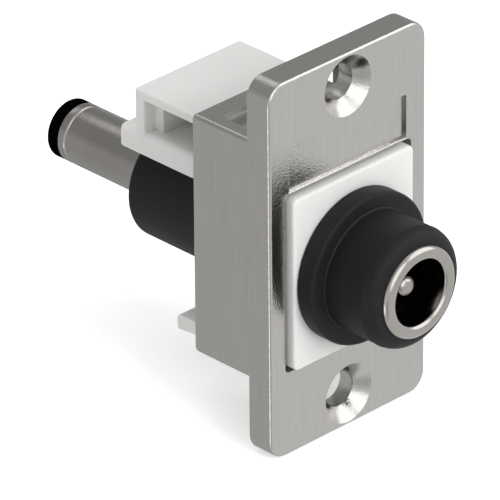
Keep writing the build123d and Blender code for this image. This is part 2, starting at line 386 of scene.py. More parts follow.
def rod(name: str, radius: float, y: Span, centre: Point = (0, AXIS_Z)) -> bpy.types.Object:
    """Add a plain cylinder along Y, used to cut.

    Args:
        name: Name for the object.
        radius: Its radius.
        y: Its ends.
        centre: X and Z of its axis.

    Returns:
        The new object.
    """
    return turn(name, [(y[0], radius), (y[1], radius)], CUTTER_FACES, centre)


# Finishes


class Sheet:
    """A node tree and the few ways in which the finishes add to it."""

    def __init__(self, tree: bpy.types.NodeTree) -> None:
        """Start from an empty tree.

        Args:
            tree: The tree of a material or world.
        """
        self.tree = tree
        tree.nodes.clear()

    def node(self, kind: str, **inputs: object) -> bpy.types.Node:
        """Add a node and set its inputs by name.

        Args:
            kind: The node's type.
            **inputs: Values or sockets, with a space in a name written as an underscore.

        Returns:
            The new node.
        """
        made = self.tree.nodes.new(kind)
        for key, value in inputs.items():
            self.feed(made.inputs[key.replace("_", " ")], value)
        return made

    def feed(self, socket: bpy.types.NodeSocket, value: object) -> None:
        """Link an output to a socket, or set the socket's own value.

        Args:
            socket: The input socket.
            value: An output socket or a constant.
        """
        if isinstance(value, bpy.types.NodeSocket):
            self.tree.links.new(value, socket)
        else:
            socket.default_value = value

    def math(self, operation: str, first: object, second: object = 0.0) -> bpy.types.NodeSocket:
        """Add a Math node.

        Args:
            operation: Its operation.
            first: First value or socket.
            second: Second value or socket.

        Returns:
            Its output.
        """
        made = self.tree.nodes.new("ShaderNodeMath")
        made.operation = operation
        self.feed(made.inputs[0], first)
        self.feed(made.inputs[1], second)
        return made.outputs[0]

    def place(self) -> bpy.types.NodeSocket:
        """Object coordinates."""
        return self.tree.nodes.new("ShaderNodeTexCoord").outputs["Object"]

    def noise(
        self, where: bpy.types.NodeSocket, per_mm: float, detail: float
    ) -> bpy.types.NodeSocket:
        """Add a noise.

        Args:
            where: Coordinates in metres.
            per_mm: Waves in a millimetre.
            detail: Octaves.

        Returns:
            Its value.
        """
        scale = per_mm / MILLIMETRE
        made = self.node("ShaderNodeTexNoise", Vector=where, Scale=scale, Detail=detail)
        return made.outputs["Fac"]

    def spread(self, value: bpy.types.NodeSocket, low: float, high: float) -> bpy.types.NodeSocket:
        """Map the middle of a noise to a range.

        Args:
            value: The noise.
            low: Result at NOISE_LOW.
            high: Result at NOISE_HIGH.

        Returns:
            The mapped value.
        """
        made = self.node("ShaderNodeMapRange", Value=value)
        made.inputs["From Min"].default_value = NOISE_LOW
        made.inputs["From Max"].default_value = NOISE_HIGH
        made.inputs["To Min"].default_value = low
        made.inputs["To Max"].default_value = high
        return made.outputs["Result"]

    def tint(
        self, value: bpy.types.NodeSocket, dark: Triple, light: Triple
    ) -> bpy.types.NodeSocket:
        """Map the middle of a noise to a colour between two.

        Args:
            value: The noise.
            dark: Colour at NOISE_LOW.
            light: Colour at NOISE_HIGH.

        Returns:
            The colour.
        """
        made = self.node("ShaderNodeValToRGB", Fac=value)
        stops = made.color_ramp.elements
        stops[0].position, stops[0].color = NOISE_LOW, (*dark, 1)
        stops[1].position, stops[1].color = NOISE_HIGH, (*light, 1)
        return made.outputs["Color"]

    def relief(
        self, height: bpy.types.NodeSocket, depth_mm: float, under: object = None
    ) -> bpy.types.NodeSocket:
        """Add a bump.

        Args:
            height: Height from 0 to 1.
            depth_mm: What a height of 1 stands for.
            under: Normal of a coarser bump, or none.

        Returns:
            The bumped normal.
        """
        distance = depth_mm * MILLIMETRE
        made = self.node("ShaderNodeBump", Strength=1.0, Distance=distance, Height=height)
        if under is not None:
            self.feed(made.inputs["Normal"], under)
        return made.outputs["Normal"]


@dataclass(frozen=True)
class Finish:
    """A procedural material: its name and the shades and grain that every finish has."""

    name: str
    dark: Triple
    light: Triple
    rough: Span
    grain_per_mm: float
    grain_depth: float
    patch_per_mm: float = 0.12

    def material(self) -> bpy.types.Material:
        """The material, made on first use.

        Returns:
            The material of this name.
        """
        found = bpy.data.materials.get(self.name)
        if found:
            return found
        made = bpy.data.materials.new(self.name)
        made.use_nodes = True
        sheet = Sheet(made.node_tree)
        shader = sheet.node("ShaderNodeBsdfPrincipled")
        where = sheet.place()
        grain = sheet.noise(where, self.grain_per_mm, FINE)
        under = self.under(sheet, where)
        sheet.feed(shader.inputs["Base Color"], self.colour(sheet, where))
        sheet.feed(shader.inputs["Roughness"], sheet.spread(grain, *self.rough))
        sheet.feed(shader.inputs["Normal"], sheet.relief(grain, self.grain_depth, under))
        for name, value in self.surface().items():
            shader.inputs[name].default_value = value
        sheet.node("ShaderNodeOutputMaterial", Surface=shader.outputs["BSDF"])
        return made

    def colour(self, sheet: Sheet, where: bpy.types.NodeSocket) -> bpy.types.NodeSocket:
        """Base colour: broad patches of the two shades, unless a finish says otherwise.

        Args:
            sheet: The material's tree.
            where: Coordinates in metres.

        Returns:
            The colour.
        """
        return sheet.tint(sheet.noise(where, self.patch_per_mm, BROAD), self.dark, self.light)

    def under(
        self, sheet: Sheet, where: bpy.types.NodeSocket
    ) -> Optional[bpy.types.NodeSocket]:
        """Normal of a coarser relief under the grain.

        Args:
            sheet: The material's tree.
            where: Coordinates in metres.

        Returns:
            The normal, or none.
        """
        return None

    def surface(self) -> dict[str, object]:
        """Inputs of the shader that are the same all over.

        Returns:
            Their values by name.
        """
        return {}


@dataclass(frozen=True)
class Metal(Finish):
    """Bare or plated metal."""

    def surface(self) -> dict[str, object]:
        """Inputs of the shader that are the same all over."""
        return {"Metallic": 1.0}


@dataclass(frozen=True)
class CastNickel(Metal):
    """Satin nickel plate over a cast skin, with upright streaks over a fine orange-peel."""

    peel_per_mm: float = 2.2
    peel_depth: float = 0.006
    streak_per_mm: float = 3.5
    streak_stretch: float = 0.06
    streak_depth: float = 0.0005

    def streaks(self, sheet: Sheet, where: bpy.types.NodeSocket) -> bpy.types.NodeSocket:
        """A noise that is drawn out upwards.

        Args:
            sheet: The material's tree.
            where: Coordinates in metres.

        Returns:
            Its value.
        """
        upright = sheet.node("ShaderNodeMapping", Vector=where)
        upright.inputs["Scale"].default_value = (1.0, 1.0, self.streak_stretch)
        return sheet.noise(upright.outputs["Vector"], self.streak_per_mm, BROAD)

    def colour(self, sheet: Sheet, where: bpy.types.NodeSocket) -> bpy.types.NodeSocket:
        """Base colour, in streaks of the two shades."""
        return sheet.tint(self.streaks(sheet, where), self.dark, self.light)

    def under(self, sheet: Sheet, where: bpy.types.NodeSocket) -> bpy.types.NodeSocket:
        """Normal of the orange-peel and the streaks."""
        peel = sheet.relief(sheet.noise(where, self.peel_per_mm, FINE), self.peel_depth)
        return sheet.relief(self.streaks(sheet, where), self.streak_depth, peel)


@dataclass(frozen=True)
class TurnedNickel(Metal):
    """Bright nickel plate on a turned part, with the tool's fine rings under it."""

    rings_per_mm: float = 5.0
    ring_depth: float = 0.002

    def under(self, sheet: Sheet, where: bpy.types.NodeSocket) -> bpy.types.NodeSocket:
        """Normal of the rings round the coupler's axis."""
        split = sheet.node("ShaderNodeSeparateXYZ", Vector=where).outputs
        off_axis = sheet.math("SUBTRACT", split["Z"], AXIS_Z * MILLIMETRE)
        across = sheet.math("MULTIPLY", split["X"], split["X"])
        up = sheet.math("MULTIPLY", off_axis, off_axis)
        radius = sheet.math("SQRT", sheet.math("ADD", across, up))
        place = sheet.node("ShaderNodeCombineXYZ", X=radius, Y=split["Y"], Z=0.0)
        rings = sheet.noise(place.outputs["Vector"], self.rings_per_mm, BROAD)
        return sheet.relief(rings, self.ring_depth)


@dataclass(frozen=True)
class WhiteMoulding(Finish):
    """White thermoplastic that lets a little light in at its edges."""

    scatter: float = 0.35
    scatter_share: Triple = (1.0, 0.9, 0.8)
    scatter_depth: float = 0.0009  # in metres
    gloss: float = 0.4

    def surface(self) -> dict[str, object]:
        """Inputs of the shader that are the same all over."""
        return {
            "Subsurface Weight": self.scatter,
            "Subsurface Radius": self.scatter_share,
            "Subsurface Scale": self.scatter_depth,
            "Specular IOR Level": self.gloss,
        }


@dataclass(frozen=True)
class DullMoulding(Finish):
    """Matte moulding with a low gloss."""

    gloss: float = 0.25

    def surface(self) -> dict[str, object]:
        """Inputs of the shader that are the same all over."""
        return {"Specular IOR Level": self.gloss}


CAST = CastNickel(
    "cast_nickel", (0.5, 0.491, 0.469), (0.526, 0.516, 0.494), (0.15, 0.21), 6.0, 0.02
)
TURNED = TurnedNickel(
    "turned_nickel", (0.4, 0.384, 0.36), (0.45, 0.433, 0.408), (0.12, 0.2), 6.0, 0.001
)
ROLLED = TurnedNickel(
    "rolled_nickel", (0.35, 0.336, 0.317), (0.402, 0.386, 0.366), (0.18, 0.28), 3.0, 0.004
)
WHITE = WhiteMoulding(
    "satin_white", (0.77, 0.77, 0.755), (0.81, 0.81, 0.795), (0.36, 0.46), 7.0, 0.0015
)
BLACK = DullMoulding(
    "black_moulding", (0.009, 0.009, 0.0095), (0.013, 0.013, 0.0135), (0.5, 0.62), 8.0, 0.003,
    gloss=0.2,
)
LINER = DullMoulding(
    "liner_black", (0.001, 0.001, 0.001), (0.002, 0.002, 0.002), (0.5, 0.6), 6.0, 0.001, gloss=0.0
)
# Bronze for the jack's spring and the plug's centre contact, painted nearly black as painted shade
# for the dark inside of the socket and the plug.
SHADED_BRONZE = Metal("bronze_painted_dark", (0.03, 0.022, 0.013), (0.045, 0.034, 0.02), (0.45, 0.55), 5.0, 0.001)
COPPER = Metal("drawn_copper", (0.6, 0.3, 0.19), (0.7, 0.38, 0.25), (0.3, 0.4), 5.0, 0.001)
RESIN = DullMoulding("grey_resin", (0.42, 0.42, 0.4), (0.48, 0.48, 0.46), (0.5, 0.6), 4.0, 0.002)


def dress(
    piece: bpy.types.Object, finish: Finish, slot: str, *nodes: str
) -> bpy.types.Object:
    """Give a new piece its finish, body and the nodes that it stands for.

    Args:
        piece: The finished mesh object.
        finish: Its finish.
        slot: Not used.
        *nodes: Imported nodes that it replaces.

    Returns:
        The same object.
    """
    piece.data.materials.clear()
    piece.data.materials.append(finish.material())
    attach(piece, "root")
    if nodes:
        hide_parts(*nodes)
    LOG.info("%s: %d faces, stands for %s", piece.name, len(piece.data.polygons), nodes or "itself")
    return piece


def repaint(nodes: dict[str, bpy.types.Object], name: str, finish: Finish) -> None:
    """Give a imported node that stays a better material.

    Args:
        nodes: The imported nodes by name.
        name: The node.
        finish: Its finish.
    """
    for holder in nodes[name].material_slots:
        holder.material = finish.material()
    LOG.info("%s keeps its solid and takes %s", name, finish.name)


# The object


@dataclass
class MountingFrame:
    """Nickel-plated die-casting: flange with two countersunk holes, label recess, housing."""

    half_width: float = 9.4
    half_height: float = 18.0
    thickness: float = 2.7
    corner: float = 1.8
    front_edge: float = 0.28
    rear_edge: float = 0.1
    screw_z: float = 14.9
    screw_radius: float = 1.65
    sink_radius: float = 2.8
    label_half_width: float = 7.05
    label_z: Span = (7.33, 11.49)
    label_depth: float = 0.32
    label_ramp: float = 0.16
    label_corner: float = 0.3
    label_rim: float = 0.05
    opening_half_width: float = 7.65
    opening_z: Span = (-9.92, 7.17)
    opening_corner: float = 0.5
    cavity_half_width: float = 8.1
    cavity_z: Span = (-10.2, 11.12)
    housing_wall: float = 0.85
    housing_depth: float = 7.2
    housing_edge: float = 0.45
    housing_rear_edge: float = 0.44
    window_half_width: float = 7.4
    window_y: Span = (1.2, 5.0)
    relief_rear: float = 6.2
    relief_top: float = 11.49
    edge_break: float = 0.07
    break_above: float = 40.0
    smooth_below: float = 42.0

    def flange(self) -> bpy.types.Object:
        """The plate with its rounded corners and edges."""
        plate = block(
            "frame_casting",
            (-self.half_width, self.half_width),
            (-self.thickness, 0),
            (-self.half_height, self.half_height),
        )
        round_edges(plate, running(Along.Y), self.corner, steps=10)
        round_edges(plate, lying(Along.Y, -self.thickness), self.front_edge, steps=4)
        round_edges(plate, lying(Along.Y, 0), self.rear_edge, steps=2)
        return plate

    def housing(self) -> bpy.types.Object:
        """The box behind the plate, let into it a little."""
        half_width = self.cavity_half_width + self.housing_wall
        box = block(
            "housing",
            (-half_width, half_width),
            (-self.thickness / 2, self.housing_depth),
            (self.cavity_z[0] - self.housing_wall, self.cavity_z[1] + self.housing_wall),
        )
        round_edges(box, running(Along.Y), self.housing_edge, steps=4)
        round_edges(box, lying(Along.Y, self.housing_depth), self.housing_rear_edge, steps=6)
        return box

    def pocket(
        self, name: str, half_width: float, y: Span, z: Span, corner: float
    ) -> bpy.types.Object:
        """A cutter with rounded corners seen from the front.

        Args:
            name: Name for the cutter.
            half_width: Half its width.
            y: Its ends.
            z: Its bottom and top.
            corner: Radius of its corners.

        Returns:
            The cutter.
        """
        shape = block(name, (-half_width, half_width), y, z)
        round_edges(shape, running(Along.Y), corner, steps=8)
        return shape

    def label_recess(self) -> bpy.types.Object:
        """A cutter for the label recess, whose lower wall slopes out to the plate's face."""
        face, floor = -self.thickness, -self.thickness + self.label_depth
        half, corner = self.label_half_width, self.label_corner
        low, high = self.label_z
        shape = self.pocket(
            "label", half, (face - PAST, floor), (low - corner - BITE, high), corner
        )
        front, rear = face - 2 * PAST, floor + BITE
        ramp = block("ramp", (-half - PAST, half + PAST), (front, rear), (low - 2 * PAST, low))
        for y in (front, rear):
            rise = (y - face) * self.label_ramp / self.label_depth
            shift_edges(ramp, both(lying(Along.Y, y), lying(Along.Z, low)), (0, 0, rise))
        combine(shape, ramp, Cut.TAKE)
        return shape

    def screw_hole(self, z: float) -> bpy.types.Object:
        """A cutter for one countersunk hole.

        Args:
            z: Height of the hole.

        Returns:
            The cutter.
        """
        cone_rear = -self.thickness + self.sink_radius - self.screw_radius
        profile = [
            (-self.thickness - PAST, self.sink_radius + PAST),
            (cone_rear, self.screw_radius),
            (PAST, self.screw_radius),
        ]
        return turn("screw_hole", profile, CUTTER_FACES, (0, z))

    def build(self) -> bpy.types.Object:
        """Model the casting.

        Returns:
            The finished piece.
        """
        casting = self.flange()
        combine(casting, self.housing(), Cut.ADD)
        cavity_y = (0, self.housing_depth + PAST)
        opening_y = (-self.thickness - PAST, PAST)
        for name, half_width, y, z in (
            ("cavity", self.cavity_half_width, cavity_y, self.cavity_z),
            ("opening", self.opening_half_width, opening_y, self.opening_z),
        ):
            cutter = self.pocket(name, half_width, y, z, self.opening_corner)
            combine(casting, cutter, Cut.TAKE)
        top = self.cavity_z[1]
        sides = (-self.window_half_width, self.window_half_width)
        window_z = (top - PAST, top + self.housing_wall + PAST)
        combine(casting, block("window", sides, self.window_y, window_z), Cut.TAKE)
        relief_y = (self.window_y[0], self.relief_rear)
        relief_z = (top - PAST, self.relief_top)
        combine(casting, block("relief", sides, relief_y, relief_z), Cut.TAKE)
        for z in (-self.screw_z, self.screw_z):
            combine(casting, self.screw_hole(z), Cut.TAKE)
        soften(casting, self.edge_break, self.break_above)
        combine(casting, self.label_recess(), Cut.TAKE)
        reach = self.label_half_width + BITE
        low, high = self.label_z[0] - self.label_rim / 2, self.label_z[1] + BITE
        rim = both(
            lying(Along.Y, -self.thickness),
            lambda a, b: all(abs(p[0]) < reach and low < p[2] < high for p in (a, b)),
        )
        round_edges(casting, rim, self.label_rim, steps=2)
        return dress(settle(casting, self.smooth_below), CAST, "cast_frame", "mounting_frame")


@dataclass
class KeystoneInsert:
    """White moulding: panel, cored body, shelf, latch lever and the catch below."""

    half_width: float = 7.25
    z: Span = (-9.65, 6.9)
    y: Span = (-3.45, 6.5)
    corner: float = 0.6
    front_edge: float = 0.3
    wall: float = 1.3
    core_depth: float = 4.5
    core_corner: float = 0.3
    bore_radius: float = 5.55
    shelf_half_width: float = 6.35
    shelf_z: Span = (3.87, 5.92)
    shelf_rear: float = 18.85
    shelf_side: float = 0.6
    shelf_edge: float = 0.5
    lever_y: Span = (0.6, 16.8)
    lever_z: Span = (9.07, 10.07)
    lever_edge: float = 0.25
    web: float = 1.1
    post_length: float = 1.1
    post_inset: float = 1.3
    post_root: float = 0.4
    tooth_half_width: float = 3.2
    tooth_y: Span = (2.3, 4.8)
    tooth_flat: float = 0.5
    tooth_top: float = 11.82
    tooth_root: float = 0.3
    tooth_edge: float = 0.12
    foot_y: Span = (7.35, 10.9)
    foot_z: Span = (-10.915, -9.45)
    neck_drop: float = 0.2
    neck_edge: float = 0.42
    heel_rise: float = 0.35
    gusset_x: float = 4.0
    gusset_half_width: float = 0.5
    gusset_reach: Span = (2.0, 3.0)
    gusset_rise: float = 1.7
    gusset_toe: float = 0.05
    relief_radius: float = 5.85
    relief_rear: float = 7.45
    smooth_below: float = 40.0

    def body(self) -> bpy.types.Object:
        """The panel and body, cored from behind and soft at the front edge."""
        shape = block("insert_moulding", (-self.half_width, self.half_width), self.y, self.z)
        round_edges(shape, running(Along.Y), self.corner, steps=8)
        round_edges(shape, lying(Along.Y, self.y[0]), self.front_edge, steps=5)
        core = block(
            "core",
            (-self.half_width + self.wall, self.half_width - self.wall),
            (self.y[1] - self.core_depth, self.y[1] + PAST),
            (self.z[0] + self.wall, self.z[1] - self.wall),
        )
        round_edges(core, running(Along.Y), self.core_corner, steps=4)
        boss_y = (self.y[1] - self.core_depth - PAST, self.y[1] + 2 * PAST)
        combine(core, rod("boss", self.bore_radius + self.wall, boss_y), Cut.TAKE)
        combine(shape, core, Cut.TAKE)
        return shape

    def shelf(self) -> bpy.types.Object:
        """The shelf over the coupler's body."""
        shape = block(
            "shelf",
            (-self.shelf_half_width, self.shelf_half_width),
            (self.y[1] - self.wall, self.shelf_rear),
            self.shelf_z,
        )
        sides = both(running(Along.Y), lying(Along.Z, self.shelf_z[1]))
        round_edges(shape, sides, self.shelf_side, steps=8)
        round_edges(shape, lying(Along.Y, self.shelf_rear), self.shelf_edge, steps=5)
        return shape

    def lever(self) -> bpy.types.Object:
        """The lever, its rear end extruded back and then down into the web, and the post."""
        half = self.shelf_half_width
        front, rear = self.lever_y
        low, high = self.lever_z
        shape = block("lever", (-half, half), (front, rear - self.web), (low, high))
        extend(shape, (0, rear - self.web, (low + high) / 2), (0, self.web, 0))
        fall = self.shelf_z[1] - self.shelf_side - low
        extend(shape, (0, rear - self.web / 2, low), (0, 0, fall))
        soften(shape, self.lever_edge, above=60, steps=4)
        post = block(
            "post",
            (-half + self.post_inset, half - self.post_inset),
            (rear - self.web - self.post_length, rear - self.web / 2),
            (self.shelf_z[1] - self.post_root, low + self.post_root),
        )
        combine(shape, post, Cut.ADD)
        return shape

    def tooth(self) -> bpy.types.Object:
        """The latch tooth: a block whose front top edge is drawn back into a ramp."""
        front, rear = self.tooth_y
        low, high = self.lever_z[1] - self.tooth_root, self.tooth_top
        half = self.tooth_half_width
        shape = block("tooth", (-half, half), (front, rear), (low, high))
        crest = both(lying(Along.Y, front), lying(Along.Z, high))
        shift_edges(shape, crest, (0, rear - self.tooth_flat - front, 0))
        soften(shape, self.tooth_edge, above=30, steps=3)
        return shape

    def catch(self) -> bpy.types.Object:
        """The catch below: a neck behind the body that hooks down past the housing."""
        low, high = self.foot_z
        front, rear = self.foot_y
        back, base = self.y[1], self.z[0]
        sides = (-self.half_width, self.half_width)
        neck = block("neck", sides, (back - self.wall, back), (base, high))
        shift_edges(neck, both(lying(Along.Y, back), lying(Along.Z, base)), (0, 0, -self.neck_drop))
        extend(neck, (0, back, high), (0, rear - back, 0))
        hook = block("hook", sides, (front, rear), (low, base))
        shift_edges(hook, both(lying(Along.Y, front), lying(Along.Z, low)), (0, 0, self.heel_rise))
        combine(neck, hook, Cut.ADD)
        round_edges(neck, both(lying(Along.Y, rear), lying(Along.Z, high)), self.neck_edge, steps=4)
        return neck

    def gusset(self, x: float) -> bpy.types.Object:
        """A rib between the body and the catch, sloped by drawing its rear top edge down.

        Args:
            x: Its middle.

        Returns:
            The rib.
        """
        half = self.gusset_half_width
        front, rear = self.y[1] - self.gusset_reach[0], self.y[1] + self.gusset_reach[1]
        low, high = self.z[0], self.foot_z[1] + self.gusset_rise
        shape = block("gusset", (x - half, x + half), (front, rear), (low, high))
        end = both(lying(Along.Y, rear), lying(Along.Z, high))
        shift_edges(shape, end, (0, 0, self.gusset_toe - self.gusset_rise))
        return shape

    def build(self) -> bpy.types.Object:
        """Model the moulding.

        Returns:
            The finished piece.
        """
        moulding = self.body()
        for part in (
            self.shelf(), self.lever(), self.tooth(), self.catch(),
            self.gusset(-self.gusset_x), self.gusset(self.gusset_x),
        ):
            combine(moulding, part, Cut.ADD)
        bore_y = (self.y[0] - PAST, self.shelf_rear + PAST)
        combine(moulding, rod("bore", self.bore_radius, bore_y), Cut.TAKE)
        relief = rod("relief", self.relief_radius, (self.y[1], self.relief_rear))
        combine(moulding, relief, Cut.TAKE)
        settle(moulding, self.smooth_below)
        return dress(moulding, WHITE, "white_moulding", "keystone_insert")


@dataclass
class Coupler:
    """Black outer moulding through the insert, with the jack in its nose."""

    body_radius: float = 5.5
    body_rear: float = 18.9
    body_edge: float = 0.4
    collar_radius: float = 7.0
    collar_y: Span = (-5.3, -3.45)
    collar_edge: float = 0.3
    collar_rear_edge: float = 0.15
    collar_foot: float = 0.12
    nose_radius: float = 5.53
    nose_front: float = -10.95
    nose_rounding: float = 1.25
    nose_seam: float = 0.07
    nose_hollow: float = 3.0
    bead_y: Span = (6.55, 7.35)
    bead_height: float = 0.25
    ring_radius: float = 4.25
    ring_edge: float = 0.55
    ring_mouth: float = 0.45
    root_radius: float = 3.0
    ring_front: float = -11.5
    socket_radius: float = 3.0
    shell_bore_radius: float = 3.6
    shell_rear: float = -0.5
    lip: float = 1.7
    pin_radius: float = 1.05
    pin_front: float = -10.0
    pin_tip: float = 0.8
    pin_point: float = 0.1
    shank_radius: float = 1.25
    socket_floor: float = -1.5
    stop_radius: float = 1.5
    stop_y: Span = (1.0, 1.5)
    tail_radius: float = 0.7
    pin_rear: float = 4.5
    faces: int = 128
    pin_faces: int = 64

    def moulding(self) -> bpy.types.Object:
        """The outer moulding, turned as one closed ring."""
        front, nose = self.nose_front, self.nose_radius
        body, top = self.body_radius, self.collar_radius
        collar_front, collar_rear = self.collar_y
        bead_front, bead_rear = self.bead_y
        bead = body + self.bead_height
        edge, back = self.collar_edge, self.collar_rear_edge
        foot, seam = self.collar_foot, self.nose_seam
        shoulder = front + self.nose_rounding
        hollow = front + self.nose_hollow
        profile = [(front, self.ring_radius)]
        profile += arc((shoulder, nose - self.nose_rounding), self.nose_rounding, 180, 90, steps=8)
        profile += [(shoulder + seam, nose + seam / 2), (shoulder + 2 * seam, nose)]
        profile += [(collar_front - foot, nose), (collar_front, nose + foot)]
        profile += arc((collar_front + edge, top - edge), edge, 180, 90, steps=5)
        profile += arc((collar_rear - back, top - back), back, 90, 0, steps=3)
        profile += [(collar_rear, body), (bead_front, body), (bead_front, bead)]
        profile += [((bead_front + bead_rear) / 2, bead), (bead_rear, body)]
        rear = (self.body_rear - self.body_edge, body - self.body_edge)
        profile += arc(rear, self.body_edge, 90, 0, steps=5)
        profile += [(self.body_rear, self.root_radius), (hollow, self.root_radius)]
        profile += [(hollow, self.ring_radius), (front, self.ring_radius)]
        piece = turn("outer_moulding", profile, self.faces, ring=True)
        settle(piece, TURNED_SMOOTH, even=False)
        return dress(piece, BLACK, "black_overmould", "coupler_overmould")

    def shell(self) -> bpy.types.Object:
        """The plated ring and the tube behind it."""
        front, outer, inner = self.ring_front, self.ring_radius, self.socket_radius
        edge, mouth = self.ring_edge, self.ring_mouth
        profile = [(front + edge, outer)]
        profile += arc((front + edge, outer - edge), edge, 90, 180, steps=8)
        profile += arc((front + mouth, inner + mouth), mouth, 180, 270, steps=6)
        profile += [(front + self.lip, inner), (front + self.lip, self.shell_bore_radius)]
        profile += [(self.shell_rear, self.shell_bore_radius), (self.shell_rear, outer)]
        profile += [(front + edge, outer)]
        piece = turn("jack_ring", profile, self.faces, ring=True)
        settle(piece, TURNED_SMOOTH, even=False)
        return dress(piece, TURNED, "plated_brass", "jack_shell")

    def pin(self) -> bpy.types.Object:
        """The centre pin with its rounded tip."""
        tip = (self.pin_front + self.pin_tip, self.pin_radius - self.pin_tip)
        stop_front, stop_rear = self.stop_y
        profile = [(self.pin_front, self.pin_point)]
        profile += arc(tip, self.pin_tip, 180, 90, steps=8)
        profile += [(self.socket_floor, self.pin_radius), (self.socket_floor, self.shank_radius)]
        profile += [(stop_front, self.shank_radius), (stop_front, self.stop_radius)]
        profile += [(stop_rear, self.stop_radius), (stop_rear, self.tail_radius)]
        profile += [(self.pin_rear, self.tail_radius)]
        piece = turn("jack_pin", profile, self.pin_faces)
        settle(piece, TURNED_SMOOTH, even=False)
        return dress(piece, TURNED, "plated_brass", "jack_centre_pin")

    def build(self) -> list[bpy.types.Object]:
        """Model the moulding, the ring and the pin.

        Returns:
            The finished pieces.
        """
        return [self.moulding(), self.shell(), self.pin()]


@dataclass
class Plug:
    """Barrel plug at the rear: rolled sleeve, black tip ring and inner tube."""

    radius: float = 2.75
    root_radius: float = 3.0
    root_flange: float = 3.7
    flange_thickness: float = 0.8
    y: Span = (15.0, 30.65)
    body_rear: float = 18.9
    wall: float = 0.42
    rim: float = 1.0
    rim_edge: float = 0.2
    groove: tuple[Point, ...] = (
        (-0.3, 0.0), (-0.18, 0.03), (-0.08, 0.12), (0.02, 0.12), (0.12, 0.04), (0.26, 0.0),
    )
    tube_front: float = 16.5
    tube_fit: float = 0.03
    tip: float = 31.9
    tip_step: float = 0.1
    tip_edge: float = 0.18
    contact_radius: float = 1.38
    bore_radius: float = 1.05
    contact_end: float = 30.8
    lead_in: float = 0.25
    faces: int = 96

    def barrel(self) -> bpy.types.Object:
        """The plated sleeve, with a rolled groove and rim before the tip ring."""
        inside, end = self.y
        outer, inner, edge = self.radius, self.radius - self.wall, self.rim_edge
        flange = inside + self.flange_thickness
        profile = [(inside, inner), (inside, self.root_flange), (flange, self.root_flange)]
        profile += [(flange, self.root_radius), (self.body_rear, self.root_radius)]
        profile += [(self.body_rear, outer)]
        profile += [(end - self.rim + along, outer - depth) for along, depth in self.groove]
        profile += arc((end - edge, outer - edge), edge, 90, 0, steps=4)
        profile += [(end, inner), (inside, inner)]
        piece = turn("plug_sleeve", profile, self.faces, ring=True)
        settle(piece, TURNED_SMOOTH, even=False)
        return dress(piece, ROLLED, "plated_brass", "plug_barrel")

    def tip_ring(self) -> bpy.types.Object:
        """The black ring that closes the tip, with its tube inside the sleeve."""
        tube = self.radius - self.wall - self.tube_fit
        start, end = self.tube_front, self.y[1]
        edge, lead, step = self.tip_edge, self.lead_in, self.tip_step
        profile = [(start, self.contact_radius), (start, tube), (end, tube)]
        profile += [(end, self.radius - step), (end + step, self.radius)]
        profile += arc((self.tip - edge, self.radius - edge), edge, 90, 0, steps=5)
        profile += arc((self.tip - lead, self.bore_radius + lead), lead, 0, -90, steps=4)
        profile += [(self.contact_end, self.bore_radius), (self.contact_end, self.contact_radius)]
        profile += [(start, self.contact_radius)]
        piece = turn("plug_tip_ring", profile, self.faces, ring=True)
        settle(piece, TURNED_SMOOTH, even=False)
        return dress(piece, LINER, "black_liner", "plug_insulator")

    def build(self) -> list[bpy.types.Object]:
        """Model the sleeve and the tip ring.

        Returns:
            The finished pieces.
        """
        return [self.barrel(), self.tip_ring()]


# The studio


@dataclass(frozen=True)
class Panel:
    """Part of the room as metal sees it, fading out between two angles in degrees."""

    towards: Triple
    inner: float
    outer: float
    level: float


@dataclass(frozen=True)
class Lamp:
    """A square lamp that faces the object: place and side in metres, power in watts."""

    name: str
    at: Triple
    size: float
    power: float


